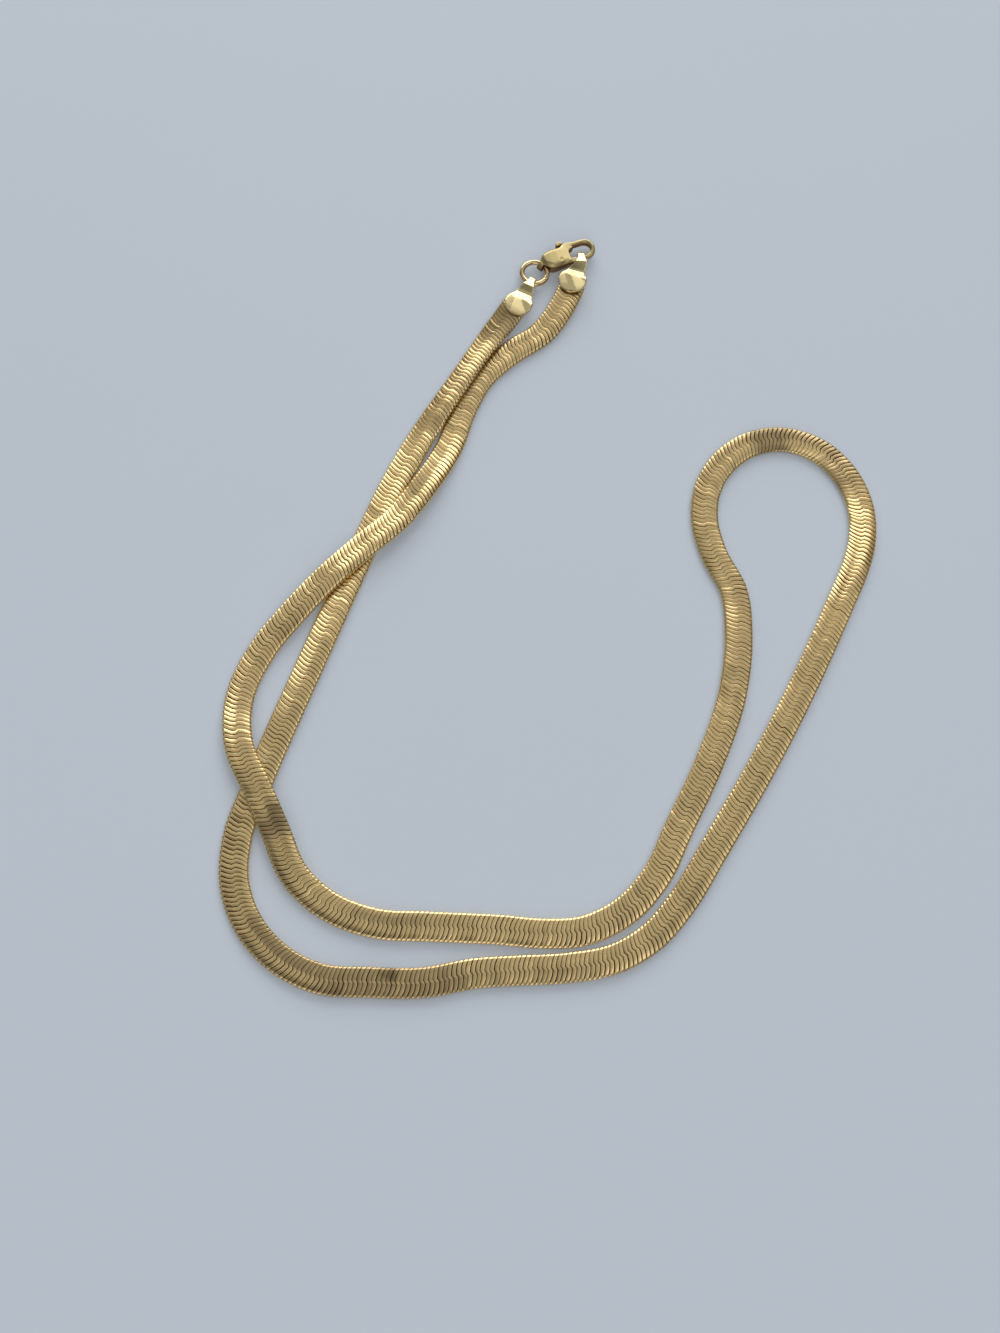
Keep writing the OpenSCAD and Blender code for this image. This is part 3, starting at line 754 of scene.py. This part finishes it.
CLASP_TO_WORLD = Matrix.Translation((*CLASP_AT, 0)) @ Matrix.Rotation(math.radians(CLASP_TURN), 4, "Z")


def moved(points, matrix):
    matrix = np.array(matrix)
    return points @ matrix[:3, :3].T + matrix[:3, 3]


def oval_hook(points):
    """The clasp's points with its hook's bar turned from a rectangle to an oval: with d across the bar
    and h up from its middle as shares of its half sizes, each becomes itself times sqrt(1 - c q^2),
    where q is the other one."""
    start, end, most = HOOK_ROUNDING
    along, across, radius = HOOK_BEND
    middle = sum(corner[2] for corner in CAD_BOX) / 2
    beyond = np.maximum(points[:, 0] - along, 0)
    sideways = points[:, 1] - across
    from_bend = np.maximum(np.hypot(beyond, sideways), 1e-6)
    d = (from_bend - radius) / HOOK_HALF_WIDTH
    half_height = np.interp(points[:, 1], *np.array(HOOK_HALF_HEIGHTS).T)
    h = (points[:, 2] - middle) / half_height
    share = most * smooth_rise(start, end, points[:, 0])
    shrunk = d * (np.sqrt(1 - share * np.clip(h, -1, 1) ** 2) - 1) * HOOK_HALF_WIDTH / from_bend
    rounded = points.copy()
    rounded[:, 0] += beyond * shrunk
    rounded[:, 1] += sideways * shrunk
    rounded[:, 2] = middle + h * np.sqrt(1 - share * np.clip(d, -1, 1) ** 2) * half_height
    return rounded


def rimmed_body(points):
    """The clasp's points with the rim of its body's faces bevelled: a half height is at most the side
    view's less the slope times how far a point is inside the rim's width from the outline."""
    start, step = BODY_OUTLINE[:-1], np.diff(BODY_OUTLINE, axis=0)
    from_start = points[:, None, :2] - start
    share = np.clip((from_start * step).sum(-1) / (step**2).sum(-1), 0, 1)
    inside = np.linalg.norm(from_start - share[..., None] * step, axis=-1).min(1)
    width, slope, least = RIM
    bevel = slope * np.clip(width - inside, 0, width) * (1 - smooth_rise(BULK[2], BULK[3], points[:, 0]))
    most = np.maximum(np.interp(points[:, 0], *BODY_SIDE.T) - bevel, least)
    most = np.where(points[:, 0] < BULK[3], most, np.inf)
    middle = sum(corner[2] for corner in CAD_BOX) / 2
    rimmed = points.copy()
    rimmed[:, 2] = middle + np.clip(points[:, 2] - middle, -most, most)
    return rimmed


def with_modifiers(piece):
    """The mesh of a piece after its modifiers, which are then taken off."""
    graph = bpy.context.evaluated_depsgraph_get()
    mesh = bpy.data.meshes.new_from_object(piece.evaluated_get(graph))
    piece.modifiers.clear()
    piece.data = mesh
    return mesh


def rounded_copy(name, nodes, grain, rounds, bulk_rounds=0):
    """A joined copy of CAD nodes with their corners merged, made of small cubes and smoothed, so that
    its edges and inner corners are round as on a cast piece. The clasp's bulk is smoothed in further
    rounds. It is kept between the table and the model's top."""
    joined = bmesh.new()
    for node in nodes:
        joined.from_mesh(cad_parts[node].data)
    mesh = bpy.data.meshes.new(name)
    joined.to_mesh(mesh)
    joined.free()
    piece = bpy.data.objects.new(name, mesh)
    bpy.context.scene.collection.objects.link(piece)
    weld = piece.modifiers.new("merge", "WELD")
    weld.merge_threshold = 0.001 * MM
    cubes = piece.modifiers.new("cubes", "REMESH")
    cubes.mode, cubes.voxel_size, cubes.use_smooth_shade = "VOXEL", grain, True
    mesh = with_modifiers(piece)
    mesh.materials.clear()
    if bulk_rounds:
        points = moved(mesh_points(mesh), CLASP_TO_WORLD.inverted())
        inside = smooth_rise(*BULK[:2], points[:, 0]) * (1 - smooth_rise(*BULK[2:], points[:, 0]))
        mesh.vertices.foreach_set("co", moved(oval_hook(rimmed_body(points)), CLASP_TO_WORLD).ravel())
        bulk = piece.vertex_groups.new(name="bulk")
        for level in range(1, 11):
            part = np.flatnonzero(np.round(inside * 10) == level)
            bulk.add(part.tolist(), level / 10, "REPLACE")
        further = piece.modifiers.new("round more", "SMOOTH")
        further.factor, further.iterations, further.vertex_group = 0.5, bulk_rounds, "bulk"
    smooth = piece.modifiers.new("round", "SMOOTH")
    smooth.factor, smooth.iterations = 0.5, rounds
    mesh = with_modifiers(piece)
    points = mesh_points(mesh)
    points[:, 2] = np.clip(points[:, 2], CAD_BOX[0][2], CAD_BOX[1][2])
    mesh.vertices.foreach_set("co", points.ravel())
    mesh.update()
    return piece


class NECKLACE_OT_clasp(bpy.types.Operator):
    """Makes the clasp's cast body with the lever's pin, and its lever"""

    bl_idname = "necklace.clasp"
    bl_label = "Clasp"

    def execute(self, context):
        sizes = context.scene.necklace_fittings

        # Side faces darkened: stain and painted shade, with random blotches all over.
        def stains_and_shade(finish, place):
            blotches = finish.step(finish.noise(place, 380.0, 3.0, 0.55), 0.45, 0.75)
            return attribute(finish, "wall") * (0.8 + 0.2 * blotches) + blotches * 0.1

        gold = plated_metal("clasp_gold", sizes.clasp_gold, (0.34, 0.16, 0.09), 0.4, stains_and_shade)
        for name, body, nodes, rounds in (
            ("cast_clasp_body", "root", ("clasp_body", "lever_pin"), BODY_ROUNDS),
            ("cast_clasp_lever", "lever", ("clasp_lever",), LEVER_ROUNDS),
        ):
            piece = rounded_copy(name, nodes, sizes.clasp_grain, *rounds)
            piece.data.materials.append(gold)
            normals = np.empty(3 * len(piece.data.vertices), dtype=np.float32)
            piece.data.vertex_normals.foreach_get("vector", normals)
            upward = np.abs(normals.reshape(-1, 3)[:, 2])
            add_attribute(piece, "wall", 1 - smooth_rise(*WALL_SHADE_FADES, upward))
            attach(piece, body)
            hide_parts(*nodes)
        return {"FINISHED"}


def camera_matrix():
    """The camera's place and turn. The table's upward normal, seen by the camera, is leaned away from
    its line of sight by the tilt, and turned round that line by the swing."""
    tilt, swing = math.radians(CAMERA_TILT), math.radians(CAMERA_SWING)
    up = -np.array([math.sin(tilt) * math.sin(swing), math.sin(tilt) * math.cos(swing), math.cos(tilt)])
    x = np.array([1.0, 0, 0]) - up[0] * up
    x /= np.linalg.norm(x)
    axes = np.array([x, np.cross(up, x), up])
    turn = axes @ np.diag([1.0, -1.0, -1.0])
    matrix = Matrix(turn.tolist()).to_4x4()
    matrix.translation = CAMERA_AT
    return matrix


class NECKLACE_OT_stage(bpy.types.Operator):
    """Makes the table, the light and the camera"""

    bl_idname = "necklace.stage"
    bl_label = "Table, light and camera"

    def execute(self, context):
        settings = context.scene.necklace_stage
        scene = context.scene
        corners = np.array([(-1, -1, 0), (1, -1, 0), (1, 1, 0), (-1, 1, 0)]) * TABLE_REACH
        material, finish = new_material("table_top")
        place = finish.node("ShaderNodeTexCoord")["Object"]
        cloud = finish.noise(place, 9.0, 2.0)
        colour = finish.mix(cloud * 0.35, rgba(settings.table_colour),
                            rgba([c * 0.93 for c in settings.table_colour]))
        # The table glows faintly in its own colour: painted light that weakens the shadows on it.
        shader = finish.node("ShaderNodeBsdfPrincipled", {}, {
            "Base Color": colour, "Roughness": 0.62, "Emission Color": colour, "Emission Strength": 0.12})
        finish.node("ShaderNodeOutputMaterial", {}, {"Surface": shader["BSDF"]})
        new_piece("table", corners, [[0, 1, 2, 3]], [material])

        world = bpy.data.worlds.new("soft_sky")
        scene.world = world
        world.use_nodes = True
        sky = Finish(world.node_tree)
        direction = sky.node("ShaderNodeTexCoord")["Generated"]
        light = (0.0, 0.0, 0.0)
        for towards, inner, outer, level, tint in SKY_LIGHTS:
            unit = np.array(towards) / np.linalg.norm(towards)
            facing = sky.node("ShaderNodeVectorMath", {"operation": "DOT_PRODUCT"},
                              {0: direction, 1: unit.tolist()})["Value"]
            share = sky.step(facing, math.cos(math.radians(outer)), math.cos(math.radians(inner)))
            part = sky.node("ShaderNodeVectorMath", {"operation": "SCALE"},
                            {0: [channel * level for channel in tint], "Scale": share})["Vector"]
            light = sky.node("ShaderNodeVectorMath", {"operation": "ADD"}, {0: light, 1: part})["Vector"]
        background = sky.node("ShaderNodeBackground", {}, {"Color": light, "Strength": settings.sky})
        sky.node("ShaderNodeOutputWorld", {}, {"Surface": background["Background"]})

        lens = bpy.data.cameras.new("photo_camera")
        lens.sensor_width = SENSOR
        lens.lens = SENSOR * FOCAL_PIXELS / PHOTO_HEIGHT
        lens.clip_start, lens.clip_end = 0.01, 10.0
        camera = bpy.data.objects.new("photo_camera", lens)
        camera.matrix_world = camera_matrix()
        scene.collection.objects.link(camera)
        scene.camera = camera
        scene.view_settings.view_transform = "Standard"
        return {"FINISHED"}


class NECKLACE_PT_panel(bpy.types.Panel):
    """Lists the necklace's pieces and their sizes"""

    bl_idname = "NECKLACE_PT_panel"
    bl_label = "Necklace"
    bl_space_type = "VIEW_3D"
    bl_region_type = "UI"
    bl_category = "Necklace"

    def draw(self, context):
        for group, operators in (
            (context.scene.necklace_chain, ("necklace.chain",)),
            (context.scene.necklace_fittings, ("necklace.caps", "necklace.ring", "necklace.clasp")),
            (context.scene.necklace_stage, ("necklace.stage",)),
        ):
            box = self.layout.box()
            for name in group.bl_rna.properties.keys():
                if name not in ("rna_type", "name"):
                    box.prop(group, name)
            for operator in operators:
                box.operator(operator)


CLASSES = (ChainSizes, FittingSizes, StageSettings, NECKLACE_OT_chain, NECKLACE_OT_caps,
           NECKLACE_OT_ring, NECKLACE_OT_clasp, NECKLACE_OT_stage, NECKLACE_PT_panel)


def register():
    for cls in CLASSES:
        bpy.utils.register_class(cls)
    bpy.types.Scene.necklace_chain = bpy.props.PointerProperty(type=ChainSizes)
    bpy.types.Scene.necklace_fittings = bpy.props.PointerProperty(type=FittingSizes)
    bpy.types.Scene.necklace_stage = bpy.props.PointerProperty(type=StageSettings)


def unregister():
    del bpy.types.Scene.necklace_chain
    del bpy.types.Scene.necklace_fittings
    del bpy.types.Scene.necklace_stage
    for cls in reversed(CLASSES):
        bpy.utils.unregister_class(cls)


def main():
    register()
    bpy.ops.necklace.stage()
    bpy.ops.necklace.chain()
    bpy.ops.necklace.caps()
    bpy.ops.necklace.ring()
    bpy.ops.necklace.clasp()


if __name__ == "__main__":
    main()
